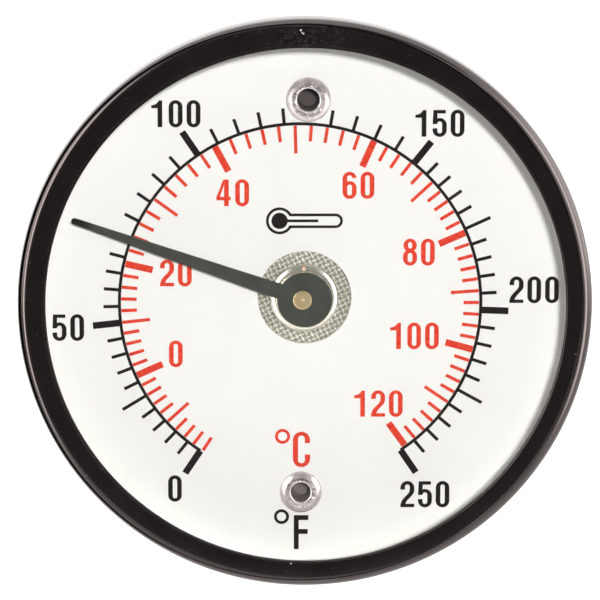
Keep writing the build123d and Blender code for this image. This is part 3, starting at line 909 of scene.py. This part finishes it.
def make_world():
    """Bright tent behind and beside the part, dark in front, where the camera stands."""
    world = bpy.data.worlds.new("tent")
    bpy.context.scene.world = world
    world.use_nodes = True
    tree = world.node_tree
    tree.nodes.clear()
    output = tree.nodes.new("ShaderNodeOutputWorld")
    coords = tree.nodes.new("ShaderNodeTexCoord")
    parts = tree.nodes.new("ShaderNodeSeparateXYZ")
    tree.links.new(coords.outputs["Generated"], parts.inputs[0])

    def stretch(low, high, to_low, to_high):
        node = tree.nodes.new("ShaderNodeMapRange")
        node.interpolation_type = "SMOOTHSTEP"
        tree.links.new(parts.outputs["Y"], node.inputs["Value"])
        for key, value in (("From Min", low), ("From Max", high),
                           ("To Min", to_low), ("To Max", to_high)):
            node.inputs[key].default_value = value
        return node.outputs[0]

    sides = stretch(-0.38, -0.02, 0.12, 2.8)
    behind = stretch(0.05, 0.5, 0.0, -1.1)
    level = tree.nodes.new("ShaderNodeMath")
    tree.links.new(sides, level.inputs[0])
    tree.links.new(behind, level.inputs[1])
    tent = tree.nodes.new("ShaderNodeBackground")
    tree.links.new(level.outputs[0], tent.inputs["Strength"])
    tent.inputs["Color"].default_value = (1.0, 0.975, 0.965, 1)
    seen = tree.nodes.new("ShaderNodeBackground")
    seen.inputs["Color"].default_value = (1, 1, 1, 1)
    seen.inputs["Strength"].default_value = 1.0
    path = tree.nodes.new("ShaderNodeLightPath")
    blend = tree.nodes.new("ShaderNodeMixShader")
    tree.links.new(path.outputs["Is Camera Ray"], blend.inputs[0])
    tree.links.new(tent.outputs[0], blend.inputs[1])
    tree.links.new(seen.outputs[0], blend.inputs[2])
    tree.links.new(blend.outputs[0], output.inputs["Surface"])


def make_camera():
    """Looks along +Y from slightly above, aimed just off the dial's middle."""
    elevation = math.radians(9.64)
    azimuth = math.radians(-0.32)
    distance = 322.7 * mm
    target = Vector((-0.403 * mm, front_of("dial_plate"), -0.228 * mm))
    back = Vector((math.sin(azimuth) * math.cos(elevation),
                   -math.cos(azimuth) * math.cos(elevation), math.sin(elevation)))
    data = bpy.data.cameras.new("camera")
    data.sensor_width = 36
    data.lens = 218.3
    data.clip_start = 0.01
    data.clip_end = 50
    camera = bpy.data.objects.new("camera", data)
    bpy.context.scene.collection.objects.link(camera)
    camera.location = target + back * distance
    camera.rotation_euler = (-back).to_track_quat("-Z", "Y").to_euler()
    bpy.context.scene.camera = camera


# ---------------------------------------------------------------- assembly
ink_black = ink_look("ink_black", (0.019, 0.015, 0.013), (0.011, 0.009, 0.008))
ink_red = ink_look("ink_red", (0.80, 0.085, 0.035), (0.70, 0.035, 0.025))
zinc = metal_look("zinc_steel", (0.27, 0.275, 0.29), (0.17, 0.175, 0.185), 0.34)
aluminium = metal_look("aluminium", (0.44, 0.44, 0.45), (0.32, 0.32, 0.33), 0.38)
brass = metal_look("brass", (0.66, 0.50, 0.28), (0.56, 0.41, 0.22), 0.3)
bimetal = metal_look("bimetal", (0.55, 0.5, 0.44), (0.44, 0.4, 0.36), 0.32)
looks = {
    "case_cup": black_case_look(),
    "bezel_ring": black_bezel_look(),
    "lens": lens_look(),
    "lens_gasket": rubber_look(),
    "trim_ring": trim_look(),
    "dial_plate": dial_white_look(),
    "scale_print_black": ink_black,
    "scale_print_red": ink_red,
    "sign_print": ink_black,
    "pole_cup_top": zinc,
    "pole_cup_bottom": zinc,
    "magnet_top": ferrite_look(),
    "magnet_bottom": ferrite_look(),
    "rivet_spacers": aluminium,
    "sensor_cup": turned_look("spun_aluminium", (0.38, 0.38, 0.39), (0.26, 0.26, 0.27), 0.42,
                              pitch=0.0004, depth=0.00001),
    "shield_rivets": aluminium,
    "upper_bearing_bush": brass,
    "calibration_hub": turned_look("turned_brass", (0.68, 0.52, 0.29), (0.56, 0.41, 0.22), 0.3),
    "hub_washer": brass,
    "anchor_arm": zinc,
    "anchor_post": zinc,
    "bimetal_coil": bimetal,
    "coil_arbor": brass,
    "thrust_washer": brass,
    "pointer": pointer_look(),
}
for node, look in looks.items():
    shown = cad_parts[node]
    shown.data.materials.clear()
    shown.data.materials.append(look)

shield_lid = make_shield(CLOTH_RADIUS - CLOTH_OVERLAP)
fit(shield_lid, HOUSING, ["heat_shield"],
    metal_look("shield_steel", (0.6, 0.6, 0.57), (0.45, 0.45, 0.42), 0.36))
cloth = make_woven_disc(CLOTH_RADIUS, front_of("heat_shield"))
fit(cloth, HOUSING, [], woven_look())
rivet_metal = rivet_look()
# Each rivet gets painted shade in its hole and on its roll's edge, and a painted highlight on its
# lip.
rivet_top = make_rivet("rolled_rivet_top", "rivet_top", roll=1.97 * mm, hole=1.0 * mm,
                       depth=3.1 * mm, hole_shade=1.0, floor_tone=1.05, low_edge_shade=0.0, seed=3)
fit(rivet_top, HOUSING, ["rivet_top"], rivet_metal)
rivet_bottom = make_rivet("rolled_rivet_bottom", "rivet_bottom", roll=1.87 * mm, hole=0.88 * mm,
                          depth=2.9 * mm, hole_shade=0.62, floor_tone=1.7, low_edge_shade=1.0, seed=11)
fit(rivet_bottom, HOUSING, ["rivet_bottom"], rivet_metal)
fit(make_bezel(), HOUSING, ["bezel_ring"], looks["bezel_ring"])
fit(make_case(), HOUSING, ["case_cup"], looks["case_cup"])
# The coppery spot on the collar at twelve o'clock is a painted warm glint.
fit(make_collar(), POINTER, ["pointer_collar"],
    turned_look("turned_nickel", (0.80, 0.78, 0.68), (0.66, 0.63, 0.54), 0.24, metal=0.8,
                painted_glint=(-0.06 * mm, 2.68 * mm)))
fit(make_shaft(), POINTER, ["pointer_shaft"],
    turned_look("pin_brass", (0.56, 0.445, 0.255), (0.48, 0.375, 0.21), 0.4,
                centre=PIN_CENTRE, pitch=0.0001, depth=0.000002, metal=0.45))
fit(make_washer(bore=2.05 * mm, slack=0.01 * mm), CALIBRATOR, ["hub_washer"], brass)

make_world()
make_floor(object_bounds()[0].z - FLOOR_DROP)
make_light("key", from_dial(5.2, 12.3, 0.7), (0.09, 0.09), 412.0, on_gloss=False)
for name, place, size, radiance in HIGHLIGHTS:
    make_light(name, from_dial(*place), size, radiance, on_matt=False)
make_camera()
bpy.context.scene.view_settings.view_transform = "Standard"
